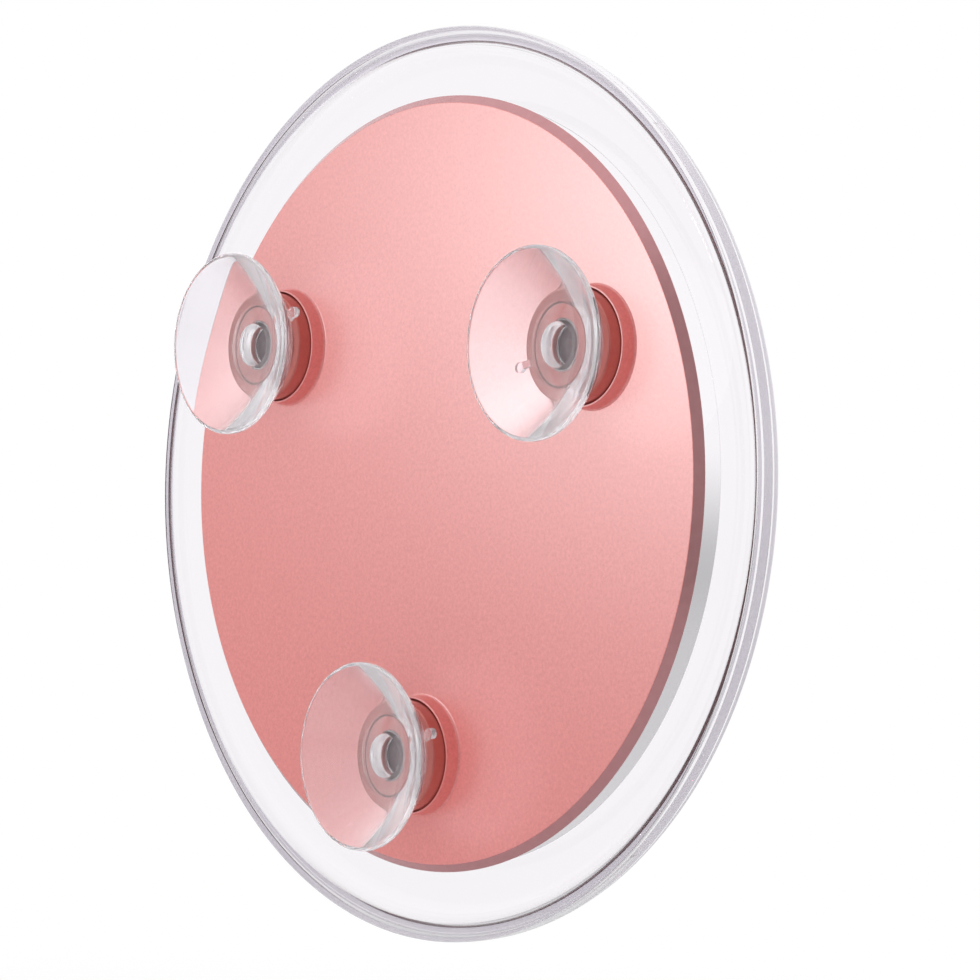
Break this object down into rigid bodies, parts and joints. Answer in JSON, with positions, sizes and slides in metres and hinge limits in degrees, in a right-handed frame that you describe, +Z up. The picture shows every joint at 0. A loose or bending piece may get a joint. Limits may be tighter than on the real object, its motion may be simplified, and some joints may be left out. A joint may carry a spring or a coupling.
{
  "type": "suction cup magnifying mirror",
  "caption": "Round concave magnifying mirror in a wide clear rim, with a painted rear cover whose collared sockets carry clear suction cups for a wall or a larger mirror.",
  "frame": {"origin": "the middle of the plane that the lips of the suction cups lie in, on the mirror's own axis: where the wall's surface meets that axis", "axes": "+Y points to the wall, out of the back of the mirror, so the user looks along +Y; +Z is up as it hangs"},
  "size_m": [0.153, 0.0228, 0.153],
  "materials": {
    "clear_acrylic": "clear, polished",
    "rose_gold_paint": "satin rose gold paint with a fine metallic grain",
    "pale_plastic": "satin",
    "clear_glass": "polished",
    "silvering": "silvered",
    "white_foam": "matte closed cell foam",
    "rose_gold_gloss": "gloss rose gold",
    "clear_vinyl": "clear, glossy, soft",
    "zinc_steel": "zinc plated"
  },
  "bodies": {
    "mirror": {"clear_rim": "clear_acrylic", "rear_cover": "rose_gold_paint", "inner_tray": "pale_plastic", "magnifying_glass": "clear_glass", "silver_backing": "silvering", "glass_cushion": "white_foam", "cup_socket_right": "rose_gold_gloss", "cup_socket_left": "rose_gold_gloss", "cup_socket_bottom": "rose_gold_gloss", "socket_ring_right": "rose_gold_gloss", "socket_ring_left": "rose_gold_gloss", "socket_ring_bottom": "rose_gold_gloss", "tray_screw_1": "zinc_steel", "tray_screw_2": "zinc_steel", "tray_screw_3": "zinc_steel", "tray_screw_4": "zinc_steel", "tray_screw_5": "zinc_steel", "tray_screw_6": "zinc_steel"},
    "cup_right": {"suction_cup_right": "clear_vinyl"},
    "cup_left": {"suction_cup_left": "clear_vinyl"},
    "cup_bottom": {"suction_cup_bottom": "clear_vinyl"}
  },
  "joints": [
    {"name": "cup_right_turn", "type": "hinge", "parent": "mirror", "child": "cup_right", "pos_m": [-0.0394, -0.009, 0.02275], "axis": [0, 1, 0], "continuous": true},
    {"name": "cup_left_turn", "type": "hinge", "parent": "mirror", "child": "cup_left", "pos_m": [0.0394, -0.009, 0.02275], "axis": [0, 1, 0], "continuous": true},
    {"name": "cup_bottom_turn", "type": "hinge", "parent": "mirror", "child": "cup_bottom", "pos_m": [0, -0.009, -0.0455], "axis": [0, 1, 0], "continuous": true}
  ]
}
